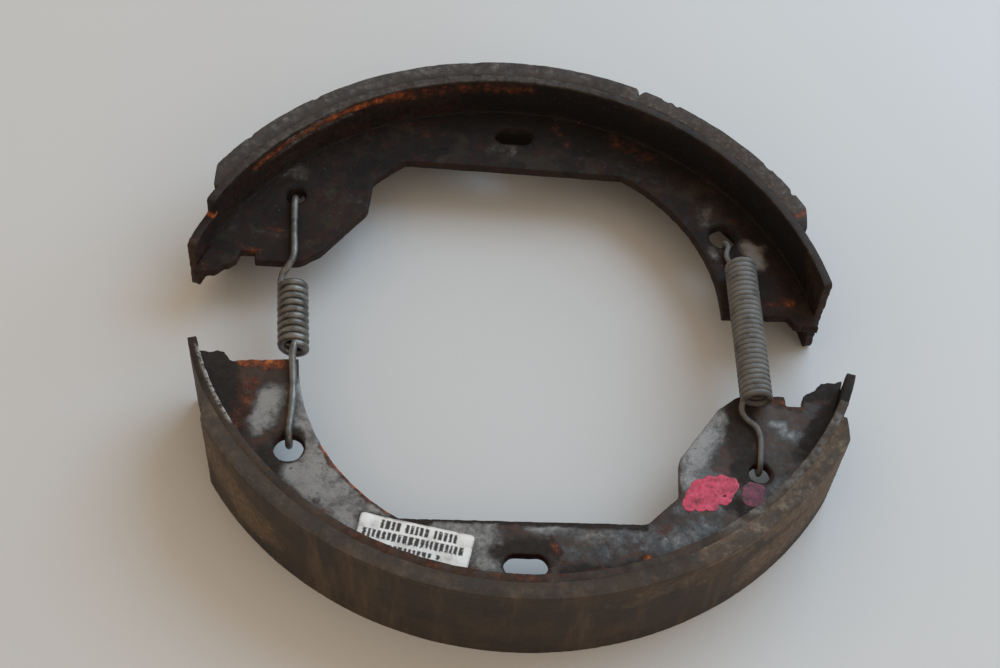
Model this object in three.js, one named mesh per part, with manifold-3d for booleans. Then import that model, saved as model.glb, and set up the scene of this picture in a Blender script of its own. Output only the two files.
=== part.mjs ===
// A pair of drum-in-hat parking brake shoes, joined by two return springs.
// Millimetres, +Z up. The pair lies on its side: Z runs along the drum's axis.
// Both shoes are the same stamping; the lower one is the upper one turned round.
import * as THREE from 'three';
import { mergeVertices } from 'three/addons/utils/BufferGeometryUtils.js';
import Module from 'manifold-3d';

const wasm = await Module();
wasm.setup();

const GAP = 0.3;                      // kept between pieces that touch
const ARC_STEP = 3;                   // degrees between the points of a large arc
const HUB_ARC_STEP = 4.5;
const HOLE_STEP = 20;
const CORNER_STEP = 30;

// Lining: it fits a drum of 185 mm and is 30 mm wide.
const DRUM_RADIUS = 92.5;
const LINING_WIDTH = 30;
const LINING_THICKNESS = 4;
const LINING_START = 27;              // degrees, from the shoe's own +X axis
const LINING_END = 152.7;
const LINING_RAMP = 3.7;              // degrees over which each end thins out
const LINING_TOE = 0.9;               // thickness left at the tip of a ramp

// Table: the curved rim that carries the lining.
const TABLE_OUTER = DRUM_RADIUS - LINING_THICKNESS - GAP;
const TABLE_THICKNESS = 2.5;
const TABLE_INNER = TABLE_OUTER - TABLE_THICKNESS;
const TABLE_WIDTH = 29;
const TABLE_START = 14.7;
const TABLE_END = 164.3;
const TAB_START = 156;                // past this the table is a narrower tab
const TAB_WIDTH = 18;
const CUT_MARGIN = 5;                 // how far the tab's cutters reach past the table
const CUT_HEIGHT = 20;

// Web: the flat plate that stands on the inside of the table.
const WEB_RADIUS = TABLE_INNER - GAP;
const WEB_THICKNESS = 3;
const MID_HEIGHT = LINING_WIDTH / 2;
const WEB_TOP = MID_HEIGHT + WEB_THICKNESS / 2;
const WEB_BOTTOM = MID_HEIGHT - WEB_THICKNESS / 2;
const PLAIN_FOOT = 17.6;              // height of the web's plain end at the table
const LOBE_FOOT = 21.3;               // height of the web's lobed end at the table
const HUB_ARC = { x: 3.2, y: 17.5, radius: 55 };
const INNER_EDGE = 65;                // height of the web's straight inner edge
const WIDE_HOLE = { x: 59, y: 46, radius: 4 };
const NARROW_HOLE = { x: -59, y: 49.7, radius: 2.75 };
const SLOT = { x: 0, y: 77, length: 11, width: 6 };

// Where each shoe's circle centre lies, and how it is turned.
const OFFSET = new THREE.Vector3(2.8, 9.1, 0);
const TILT = THREE.MathUtils.degToRad(1.4);

// Springs: close-wound coils along Y with a hook at each end. An arm's points are
// [x, y, rise], where rise is counted from the height of an arm that lies on the web.
const HEAVY = {
  wire: 1.95,
  coil: 8.3,
  height: MID_HEIGHT + 0.2,           // of the coil's axis: it hangs between the webs
  turns: 9.72,
  first: 180,                         // angle at which the helix starts
  coilTop: [-58.7, 12.8],
  coilEnd: [-56.65, -8.2],
  upperPull: [0.04, -1],
  lowerPull: [-0.06, 1],
  upperArm: [[-59.7, 28.9, 0], [-59.1, 20.2, 0], [-60.3, 17, -0.6], [-61.6, 15.1, -1.8]],
  lowerArm: [[-56.4, -11.1, 0.7], [-56.3, -13.1, 0.3], [-56, -15.5, 0], [-55.2, -25, 0]],
};
const LIGHT = {
  wire: 1.5,
  coil: 8.2,
  height: WEB_TOP + GAP + 4.1,        // its coil lies on both webs
  turns: 27.8,
  first: 255,
  coilTop: [60.6, 22.6],
  coilEnd: [62.5, -20.4],
  upperPull: [0.25, -1],
  lowerPull: [0.05, 1],
  upperArm: [[57.8, 28.2, 0], [58.7, 25, 0]],
  lowerArm: [[58.9, -22.4, 1.2], [60.4, -24.2, 0], [62.6, -26.2, 0], [63.5, -29.5, 0]],
};
const STEPS_PER_TURN = 9;
const WIRE_SIDES = 6;
const HOOK_STEP = 30;                 // degrees between the points of a hook's bend
const HOOK_TAIL = 3;                  // straight length after a hook's bend

const LABEL = { x: 27.1, y: 71.5, length: 28.4, width: 9.8, thickness: 0.2, turn: -11.8 };
const LABEL_GAP = 0.1;
const LABEL_CORNER = 1.2;

const UPPER_TONES = { web: '#2b2521', table: '#352b25', lining: '#3f362e' };
const LOWER_TONES = { web: '#5c5853', table: '#4a4038', lining: '#43382e' };
const LABEL_TONE = '#d9d7d2';
const HEAVY_TONE = '#4b4945';
const LIGHT_TONE = '#6a6862';

const rad = THREE.MathUtils.degToRad;
const polar = (radius, degrees, x = 0, y = 0) =>
  new THREE.Vector2(x + radius * Math.cos(rad(degrees)), y + radius * Math.sin(rad(degrees)));

// Points along an arc, both ends included.
function arc(radius, from, to, step = ARC_STEP, x = 0, y = 0) {
  const count = Math.max(1, Math.round(Math.abs(to - from) / step));
  const points = [];
  for (let i = 0; i <= count; i += 1) {
    points.push(polar(radius, from + ((to - from) * i) / count, x, y));
  }
  return points;
}

// An open run of corners [x, y, radius], each rounded off between its neighbours.
function rounded(before, corners, after) {
  const line = [before, ...corners.map(([x, y]) => new THREE.Vector2(x, y)), after];
  return corners.flatMap(([, , radius], i) => {
    const corner = line[i + 1];
    const back = line[i].clone().sub(corner).normalize();
    const ahead = line[i + 2].clone().sub(corner).normalize();
    const half = back.angleTo(ahead) / 2;
    const reach = radius / Math.tan(half);
    const start = corner.clone().addScaledVector(back, reach);
    const end = corner.clone().addScaledVector(ahead, reach);
    const bend = new THREE.QuadraticBezierCurve(start, corner, end);
    return bend.getPoints(radius < 1 ? 2 : 4);
  });
}

function slab(points, bottom, thickness, holes = []) {
  const shape = new THREE.Shape(points);
  shape.holes = holes.map((hole) => new THREE.Path(hole));
  const geometry = new THREE.ExtrudeGeometry(shape, { depth: thickness, bevelEnabled: false });
  return geometry.translate(0, 0, bottom);
}

function toSolid(geometry) {
  const bare = geometry.clone();
  bare.deleteAttribute('normal');
  bare.deleteAttribute('uv');
  const merged = mergeVertices(bare);
  const vertProperties = new Float32Array(merged.attributes.position.array);
  const triVerts = new Uint32Array(merged.index.array);
  return new wasm.Manifold(new wasm.Mesh({ numProp: 3, vertProperties, triVerts }));
}

function toGeometry(solid) {
  const { vertProperties, triVerts } = solid.getMesh();
  const geometry = new THREE.BufferGeometry();
  geometry.setAttribute('position', new THREE.BufferAttribute(vertProperties, 3));
  geometry.setIndex(new THREE.BufferAttribute(triVerts, 1));
  geometry.computeVertexNormals();
  return geometry;
}

function paint(color, roughness, metalness) {
  return new THREE.MeshStandardMaterial({ color, roughness, metalness });
}

function named(name, geometry, material) {
  const mesh = new THREE.Mesh(geometry, material);
  mesh.name = name;
  return mesh;
}

function liningGeometry() {
  const inner = TABLE_OUTER + GAP;
  const toe = inner + LINING_TOE;
  const outline = [
    polar(toe, LINING_START),
    ...arc(DRUM_RADIUS, LINING_START + LINING_RAMP, LINING_END - LINING_RAMP),
    polar(toe, LINING_END),
    ...arc(inner, LINING_END, LINING_START),
  ];
  return slab(outline, 0, LINING_WIDTH);
}

// The full-width arc, less the two strips beside the tab.
function tableGeometry() {
  const outline = [
    ...arc(TABLE_OUTER, TABLE_START, TABLE_END),
    ...arc(TABLE_INNER, TABLE_END, TABLE_START),
  ];
  const bottom = (LINING_WIDTH - TABLE_WIDTH) / 2;
  let solid = toSolid(slab(outline, bottom, TABLE_WIDTH));
  const strip = [
    polar(TABLE_INNER - CUT_MARGIN, TAB_START),
    polar(TABLE_OUTER + CUT_MARGIN, TAB_START),
    polar(TABLE_OUTER + CUT_MARGIN, TABLE_END + CUT_MARGIN),
    polar(TABLE_INNER - CUT_MARGIN, TABLE_END + CUT_MARGIN),
  ];
  for (const base of [MID_HEIGHT - TAB_WIDTH / 2 - CUT_HEIGHT, MID_HEIGHT + TAB_WIDTH / 2]) {
    solid = solid.subtract(toSolid(slab(strip, base, CUT_HEIGHT)));
  }
  return toGeometry(solid);
}

function webOutline() {
  const plainFoot = new THREE.Vector2(Math.sqrt(WEB_RADIUS ** 2 - PLAIN_FOOT ** 2), PLAIN_FOOT);
  const lobeFoot = new THREE.Vector2(-Math.sqrt(WEB_RADIUS ** 2 - LOBE_FOOT ** 2), LOBE_FOOT);
  const hub = HUB_ARC;
  const hubStart = 2;
  const hubEnd = THREE.MathUtils.radToDeg(Math.asin((INNER_EDGE - hub.y) / hub.radius));
  const hubArc = arc(hub.radius, hubStart, hubEnd, HUB_ARC_STEP, hub.x, hub.y);
  const plainEnd = [
    [77.3, 17.8, 1],
    [75.8, 20.4, 1],
  ];
  const lobe = [
    [-30, INNER_EDGE, 3],
    [-38.3, 57, 3],
    [-38.8, 46.5, 5],
    [-50, 31, 4],
    [-55.5, 26.8, 3],
    [-67.5, 26.6, 0.6],               // the seat notch starts here
    [-67.5, 29.6, 0.4],
    [-71.6, 29.6, 0.4],
    [-72.3, 26.3, 0.6],
    [-75, 24.9, 0.8],
    [-77.5, 22.3, 1],
  ];
  return [
    plainFoot,
    ...rounded(plainFoot, plainEnd, hubArc[0]),
    ...hubArc,
    ...rounded(hubArc.at(-1), lobe, lobeFoot),
    ...arc(
      WEB_RADIUS,
      180 - THREE.MathUtils.radToDeg(Math.asin(LOBE_FOOT / WEB_RADIUS)),
      THREE.MathUtils.radToDeg(Math.asin(PLAIN_FOOT / WEB_RADIUS)),
    ).slice(0, -1),
  ];
}

function webGeometry() {
  const roundHole = ({ x, y, radius }) => arc(radius, 0, 360, HOLE_STEP, x, y).slice(0, -1);
  const reach = (SLOT.length - SLOT.width) / 2;
  const slot = [
    ...arc(SLOT.width / 2, -90, 90, HOLE_STEP, SLOT.x + reach, SLOT.y),
    ...arc(SLOT.width / 2, 90, 270, HOLE_STEP, SLOT.x - reach, SLOT.y),
  ];
  const holes = [roundHole(WIDE_HOLE), roundHole(NARROW_HOLE), slot];
  return slab(webOutline(), WEB_BOTTOM, WEB_THICKNESS, holes);
}

function labelGeometry() {
  const { length, width, thickness } = LABEL;
  const corner = LABEL_CORNER;
  const [right, top] = [length / 2 - corner, width / 2 - corner];
  const outline = [
    ...arc(corner, 0, 90, CORNER_STEP, right, top),
    ...arc(corner, 90, 180, CORNER_STEP, -right, top),
    ...arc(corner, 180, 270, CORNER_STEP, -right, -top),
    ...arc(corner, 270, 360, CORNER_STEP, right, -top),
  ];
  const geometry = slab(outline, 0, thickness);
  geometry.rotateZ(rad(LABEL.turn));
  return geometry.translate(LABEL.x, LABEL.y, WEB_TOP + LABEL_GAP);
}

function shoe(prefix, tones) {
  const group = new THREE.Group();
  group.add(
    named(`${prefix}_web`, webGeometry(), paint(tones.web, 0.75, 0.5)),
    named(`${prefix}_table`, tableGeometry(), paint(tones.table, 0.8, 0.4)),
    named(`${prefix}_lining`, liningGeometry(), paint(tones.lining, 0.95, 0)),
  );
  return group;
}

const upperShoe = shoe('upper', UPPER_TONES);
upperShoe.position.copy(OFFSET).negate();
upperShoe.rotation.z = -TILT;

const lowerShoe = shoe('lower', LOWER_TONES);
lowerShoe.add(named('web_label', labelGeometry(), paint(LABEL_TONE, 0.6, 0)));
lowerShoe.position.copy(OFFSET);
lowerShoe.rotation.z = Math.PI + TILT;

// A hole of a shoe in the pair's frame, at the middle of the web's thickness.
function holeOf(group, { x, y }) {
  group.updateMatrixWorld();
  return new THREE.Vector3(x, y, MID_HEIGHT).applyMatrix4(group.matrixWorld);
}

// A hook's points, from the top of the web, round the hole's edge and back below.
// The spring pulls against the hole's edge on the side that pullX, pullY point to.
function hook(group, hole, [pullX, pullY], wire) {
  const bend = WEB_THICKNESS / 2 + GAP + wire / 2;
  const inside = bend - wire / 2;
  const reach = Math.sqrt(inside ** 2 - (WEB_THICKNESS / 2) ** 2) - GAP;
  const pull = new THREE.Vector3(pullX, pullY, 0).normalize();
  const centre = holeOf(group, hole).addScaledVector(pull, hole.radius + reach);
  const points = [];
  for (let degrees = 90; degrees >= -90; degrees -= HOOK_STEP) {
    const point = centre.clone().addScaledVector(pull, -bend * Math.cos(rad(degrees)));
    point.z += bend * Math.sin(rad(degrees));
    points.push(point);
  }
  points.push(points.at(-1).clone().addScaledVector(pull, HOOK_TAIL));
  return points;
}

// A coil along Y; it turns over the top towards -X.
function coil(spring) {
  const start = new THREE.Vector3(...spring.coilTop, spring.height);
  const end = new THREE.Vector3(...spring.coilEnd, spring.height);
  const radius = (spring.coil - spring.wire) / 2;
  const count = Math.round(spring.turns * STEPS_PER_TURN);
  const points = [];
  for (let i = 0; i <= count; i += 1) {
    const turn = rad(spring.first + (360 * spring.turns * i) / count);
    const point = new THREE.Vector3().lerpVectors(start, end, i / count);
    points.push(point.add(new THREE.Vector3(radius * Math.cos(turn), 0, radius * Math.sin(turn))));
  }
  return points;
}

function springGeometry(spring, upperHole, lowerHole) {
  const armHeight = WEB_TOP + GAP + spring.wire / 2;
  const arm = (points) => points.map(([x, y, rise]) => new THREE.Vector3(x, y, armHeight + rise));
  const centreLine = [
    ...hook(upperShoe, upperHole, spring.upperPull, spring.wire).reverse(),
    ...arm(spring.upperArm),
    ...coil(spring),
    ...arm(spring.lowerArm),
    ...hook(lowerShoe, lowerHole, spring.lowerPull, spring.wire),
  ];
  const path = new THREE.CatmullRomCurve3(centreLine, false, 'centripetal');
  const section = new THREE.Shape(arc(spring.wire / 2, 0, 360, 360 / WIRE_SIDES).slice(0, -1));
  const pace = (Math.PI * (spring.coil - spring.wire)) / STEPS_PER_TURN;
  const steps = Math.round(path.getLength() / pace);
  return new THREE.ExtrudeGeometry(section, { steps, extrudePath: path });
}

const heavySpring = springGeometry(HEAVY, NARROW_HOLE, WIDE_HOLE);
const lightSpring = springGeometry(LIGHT, WIDE_HOLE, NARROW_HOLE);

const pair = new THREE.Group();
pair.add(
  upperShoe,
  lowerShoe,
  named('left_spring', heavySpring, paint(HEAVY_TONE, 0.5, 0.8)),
  named('right_spring', lightSpring, paint(LIGHT_TONE, 0.6, 0.7)),
);

export default pair;
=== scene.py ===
"""A used pair of drum-in-hat parking brake shoes with its two return springs, on a pale floor.

Shapes are worked out in millimetres and turned into metres when a mesh is made.
A shoe is drawn in its own frame: the drum's centre is its origin and the slot is on its +Y side.
Places along a shoe are in degrees round that centre, from +X.
"""
import math

import bpy
import numpy as np
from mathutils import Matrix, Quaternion, Vector, kdtree, noise
from mathutils.geometry import delaunay_2d_cdt


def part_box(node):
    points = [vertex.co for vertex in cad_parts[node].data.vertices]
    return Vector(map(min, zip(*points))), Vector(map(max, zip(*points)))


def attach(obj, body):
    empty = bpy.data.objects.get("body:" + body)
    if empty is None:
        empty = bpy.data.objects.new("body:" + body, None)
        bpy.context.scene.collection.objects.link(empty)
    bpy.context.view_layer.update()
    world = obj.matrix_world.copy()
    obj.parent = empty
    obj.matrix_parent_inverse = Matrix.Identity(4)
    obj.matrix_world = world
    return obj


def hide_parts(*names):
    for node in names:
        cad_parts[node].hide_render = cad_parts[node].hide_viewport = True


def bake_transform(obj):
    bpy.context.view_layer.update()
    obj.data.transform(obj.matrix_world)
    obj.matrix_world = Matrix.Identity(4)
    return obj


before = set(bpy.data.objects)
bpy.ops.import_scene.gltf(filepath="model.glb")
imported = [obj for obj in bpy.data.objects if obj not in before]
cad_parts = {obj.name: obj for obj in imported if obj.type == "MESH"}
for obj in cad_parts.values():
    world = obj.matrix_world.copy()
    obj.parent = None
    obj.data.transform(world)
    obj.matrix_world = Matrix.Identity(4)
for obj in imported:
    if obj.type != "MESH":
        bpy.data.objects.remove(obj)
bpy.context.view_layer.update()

MM = 0.001


# -------- dimensions, mm

def heights(node):
    low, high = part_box(node)
    return low.z / MM, high.z / MM


WEB_BOTTOM, WEB_TOP = heights("upper_web")
TABLE_BOTTOM, TABLE_TOP = heights("upper_table")
LINING_BOTTOM, LINING_TOP = heights("upper_lining")
MIDDLE = (WEB_BOTTOM + WEB_TOP) / 2
HALF_WEB = (WEB_TOP - WEB_BOTTOM) / 2

DRUM_RADIUS = 92.5
LINING_INNER = 88.3
LINING_ENDS = (27.0, 152.7)  # degrees
LINING_RAMP = 3.7  # degrees
LINING_TOE = 0.9  # its thickness at the foot of a ramp
BAND_SLOPE = 0.45  # how far its sides fall towards the table
TABLE_OUTER = 88.2
TABLE_INNER = 85.7
TABLE_START = 14.7  # degrees
TABLE_END = {"upper": 163.7, "lower": 164.3}
TAB_START = 156.0  # degrees
TAB_WIDTH = 18.0
WEB_RADIUS = 85.75
WIDE_HOLE = (59.0, 46.0, 3.8)  # x, y, radius
NARROW_HOLE = (-59.0, 49.7, 2.75)
SLOT = (0.0, 77.0, 11.0, 6.0)  # x, y, length, width
HOLE_STEP = 0.5
HUB_ARC = (3.2, 17.5, 55.0)  # x, y, radius
INNER_EDGE = 65.0

# How each shoe is turned about its drum centre, and where that centre lies.
PLACES = {
    "upper": (math.radians(-1.4), (-2.8, -9.1)),
    "lower": (math.radians(181.4), (2.8, 9.1)),
}
BODIES = {"upper": "upper_shoe", "lower": "lower_shoe"}
WEB_SLOTS = {"upper": "dark_steel", "lower": "worn_steel"}
TABLE_SLOTS = {"upper": "dark_steel", "lower": "rusted_steel"}

# Where each part's noise is taken, so that no two look alike.
WEB_SEEDS = {"upper": 2, "lower": 31}
TABLE_SEEDS = {"upper": 5, "lower": 41}
LINING_SEEDS = {"upper": 11, "lower": 61}


# -------- small maths

def turned(x, y, angle):
    """A point turned about the origin, in radians."""
    c, s = math.cos(angle), math.sin(angle)
    return c * x - s * y, s * x + c * y


def shoe_to_pair(shoe, x, y):
    turn, (dx, dy) = PLACES[shoe]
    x, y = turned(x, y, turn)
    return x + dx, y + dy


def pair_to_shoe(shoe, x, y):
    turn, (dx, dy) = PLACES[shoe]
    return turned(x - dx, y - dy, -turn)


def fade(value, low, high):
    """0 below low, 1 above high, smooth between."""
    t = min(1.0, max(0.0, (value - low) / (high - low)))
    return t * t * (3 - 2 * t)


def wave(x, y, z, scale, octaves=3):
    """Smooth noise, about -1 to 1, whose features are about 1/scale mm across."""
    return noise.fractal(Vector((x, y, z)) * scale, 1.0, 2.0, octaves)


def strokes_at(strokes, x, y):
    """The strongest of some soft strokes (x0, y0, x1, y1, radius, strength) at a point."""
    best = 0.0
    for x0, y0, x1, y1, radius, strength in strokes:
        dx, dy = x1 - x0, y1 - y0
        along = ((x - x0) * dx + (y - y0) * dy) / (dx * dx + dy * dy)
        along = min(1.0, max(0.0, along))
        reach = math.hypot(x - x0 - along * dx, y - y0 - along * dy) / radius
        if reach < 1:
            best = max(best, strength * (1 - reach * reach))
    return best


def arc(cx, cy, radius, start, end, step=1.5):
    """Points of an arc from start to end, in degrees, both included."""
    count = max(2, round(abs(math.radians(end - start)) * radius / step))
    angles = np.radians(np.linspace(start, end, count + 1))
    return np.stack([cx + radius * np.cos(angles), cy + radius * np.sin(angles)], axis=1)


def rounded(before, corners, after):
    """An open run of corners (x, y, radius), each rounded off between its neighbours."""
    line = [Vector(before), *(Vector((x, y)) for x, y, _ in corners), Vector(after)]
    points = []
    for i, (_, _, radius) in enumerate(corners, 1):
        corner = line[i]
        back = (line[i - 1] - corner).normalized()
        ahead = (line[i + 1] - corner).normalized()
        reach = radius / math.tan(back.angle(ahead) / 2)
        start, end = corner + back * reach, corner + ahead * reach
        for t in np.linspace(0, 1, 7):
            points.append((1 - t) ** 2 * start + 2 * t * (1 - t) * corner + t * t * end)
    return np.array(points)


def resampled(ring, step):
    """A closed ring with even steps."""
    closed = np.vstack([ring, ring[:1]])
    reach = np.concatenate([[0], np.cumsum(np.linalg.norm(np.diff(closed, axis=0), axis=1))])
    at = np.linspace(0, reach[-1], max(8, round(reach[-1] / step)), endpoint=False)
    return np.stack([np.interp(at, reach, closed[:, k]) for k in (0, 1)], axis=1)


def outward(ring):
    """Unit vectors that point away from the material, for an outer ring that runs
    counter-clockwise or a hole that runs clockwise."""
    ahead = np.roll(ring, -1, axis=0) - np.roll(ring, 1, axis=0)
    ahead /= np.linalg.norm(ahead, axis=1)[:, None]
    return np.stack([ahead[:, 1], -ahead[:, 0]], axis=1)


def inside(points, rings):
    """Which points lie between the outer ring and the holes."""
    odd = np.zeros(len(points), bool)
    px, py = points[:, :1], points[:, 1:]
    for ring in rings:
        ahead = np.roll(ring, -1, axis=0)
        x0, y0, x1, y1 = ring[:, 0], ring[:, 1], ahead[:, 0], ahead[:, 1]
        spans = (y0 > py) != (y1 > py)
        rise = np.where(y1 == y0, 1.0, y1 - y0)
        crossing = x0 + (py - y0) * (x1 - x0) / rise
        odd ^= (np.sum(spans & (px < crossing), axis=1) % 2).astype(bool)
    return odd


# -------- meshes

def add_object(name, data):
    """A new object in the scene, from mesh, camera or light data."""
    item = bpy.data.objects.new(name, data)
    bpy.context.scene.collection.objects.link(item)
    return item


def make_piece(name, points, faces, material, marks=None):
    """A smooth-shaded mesh object from points in mm, with a value per point for each mark.

    A mark that a piece doesn't have counts as 0 in its material.
    """
    mesh = bpy.data.meshes.new(name)
    mesh.from_pydata([tuple(c * MM for c in p) for p in points], [], faces)
    mesh.validate()
    mesh.shade_smooth()
    for mark, values in (marks or {}).items():
        layer = mesh.attributes.new(mark, "FLOAT", "POINT")
        layer.data.foreach_set("value", np.array(values, np.float32))
    mesh.materials.append(material)
    return add_object(name, mesh)


def mount(piece, body, slot, *nodes):
    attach(piece, body)
    if nodes:
        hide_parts(*nodes)


def joined(parts):
    """Several (points, faces) as one."""
    points, faces = [], []
    for more_points, more_faces in parts:
        base = len(points)
        points += list(more_points)
        faces += [tuple(base + i for i in face) for face in more_faces]
    return points, faces


# An edge from the upper surface to the lower one, as (inset, drop) in radii of the rim.
# A drop below 0 is a rise from the lower surface, and None is half-way.
EDGE_ROWS = ((0.3, 0.3), (0.0, 1.0), (0.0, None), (0.0, -1.0), (0.3, -0.3))

# The grid inside a plate, for a spacing of 1.
GRID_ROW = 0.87
GRID_JITTER = 0.16
GRID_CLEARANCE = 0.55


def filled(rings, spacing, step, seed):
    """The rings' points, then a loose grid of points between them."""
    rng = np.random.default_rng(seed)
    low, high = rings[0].min(axis=0), rings[0].max(axis=0)
    us = np.arange(low[0], high[0], spacing)
    vs = np.arange(low[1], high[1], spacing * GRID_ROW)
    grid = np.array([(u + (j % 2) * spacing / 2, v) for j, v in enumerate(vs) for u in us])
    grid += rng.uniform(-GRID_JITTER, GRID_JITTER, grid.shape) * spacing
    grid = grid[inside(grid, rings)]
    border = np.vstack(rings)
    tree = kdtree.KDTree(len(border))
    for i, (u, v) in enumerate(border):
        tree.insert((u, v, 0), i)
    tree.balance()
    reach = GRID_CLEARANCE * min(spacing, step * 1.2)
    clear = [tree.find((u, v, 0))[2] > reach for u, v in grid]
    return np.vstack([border, grid[np.array(clear, bool)]])


def triangulated(rings, flat):
    """The points, counter-clockwise triangles between the rings, and each point's new index."""
    loops, base = [], 0
    for ring in rings:
        loops.append(list(range(base, base + len(ring))))
        base += len(ring)
    flat_points = [Vector(p) for p in flat.tolist()]
    made, _, corners, origin, _, _ = delaunay_2d_cdt(flat_points, [], loops, 2, 1e-6)
    index_of = {source: i for i, sources in enumerate(origin) for source in sources}
    flat = np.array([tuple(p) for p in made])
    triangles = []
    for a, b, c in corners:
        (ux, uy), (vx, vy) = flat[b] - flat[a], flat[c] - flat[a]
        triangles.append((a, c, b) if ux * vy < uy * vx else (a, b, c))
    return flat, triangles, index_of


def plate(rings, top, bottom, spacing, step, rim, ragged, seed):
    """A flat plate with rounded, slightly ragged edges, as points (u, v, w) and faces.

    rings: the outer outline counter-clockwise, then the holes clockwise.
    top(u, v) and bottom(u, v): the two surfaces. rim: the radius of every edge.
    ragged(u, v): how far an edge may wander.
    """
    edges = []
    for ring in rings:
        ring = resampled(ring, step)
        away = outward(ring)
        wander = [ragged(x, y) * wave(x, y, seed, 0.45, 4) for x, y in ring]
        edges.append((ring + away * np.array(wander)[:, None], away))
    inner = [ring - away * rim for ring, away in edges]
    flat, triangles, index_of = triangulated(inner, filled(inner, spacing, step, seed))
    count = len(flat)
    points = [(u, v, top(u, v)) for u, v in flat] + [(u, v, bottom(u, v)) for u, v in flat]
    faces = []
    for a, b, c in triangles:
        faces.append((a, b, c))
        faces.append((count + a, count + c, count + b))

    def edge_point(place, away, inset, drop):
        (x, y), (ax, ay) = place, away
        u, v = x - ax * inset * rim, y - ay * inset * rim
        high, low = top(u, v), bottom(u, v)
        if drop is None:
            bite = min(0, 0.4 * ragged(u, v) * (wave(u, v, seed + 9, 1.3) - 0.3))
            return u + ax * bite, v + ay * bite, (high + low) / 2
        return u, v, (high if drop > 0 else low) - drop * rim

    base = 0
    for ring, away in edges:
        size = len(ring)
        border = [index_of[base + i] for i in range(size)]
        levels = [border]
        for inset, drop in EDGE_ROWS:
            levels.append(list(range(len(points), len(points) + size)))
            points += [edge_point(place, out, inset, drop) for place, out in zip(ring, away)]
        levels.append([count + i for i in border])
        for upper, lower in zip(levels, levels[1:]):
            for i in range(size):
                j = (i + 1) % size
                faces.append((lower[i], lower[j], upper[j], upper[i]))
        base += size
    return points, faces


def sweep(path, section_at):
    """A closed tube along path. section_at(i) gives the ring at point i as (side, up) pairs."""
    points, faces, size = [], [], len(section_at(0))
    tangent = (path[1] - path[0]).normalized()
    side = tangent.orthogonal().normalized()
    for i, here in enumerate(path):
        ahead = path[min(i + 1, len(path) - 1)] - path[max(i - 1, 0)]
        turn = tangent.rotation_difference(ahead.normalized())
        tangent = ahead.normalized()
        side = (turn @ side).normalized()
        up = tangent.cross(side)
        points += [here + side * a + up * b for a, b in section_at(i)]
    for row in range(0, len(points) - size, size):
        for k in range(size):
            m = (k + 1) % size
            faces.append((row + k, row + m, row + size + m, row + size + k))
    faces.append(tuple(reversed(range(size))))
    faces.append(tuple(range(len(points) - size, len(points))))
    return points, faces


# -------- materials

def rgb(red, green, blue):
    """A display colour, 0 to 255, as the linear colour that shaders use."""
    parts = [c / 255 for c in (red, green, blue)]
    return [c / 12.92 if c <= 0.04045 else ((c + 0.055) / 1.055) ** 2.4 for c in parts] + [1.0]


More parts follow.
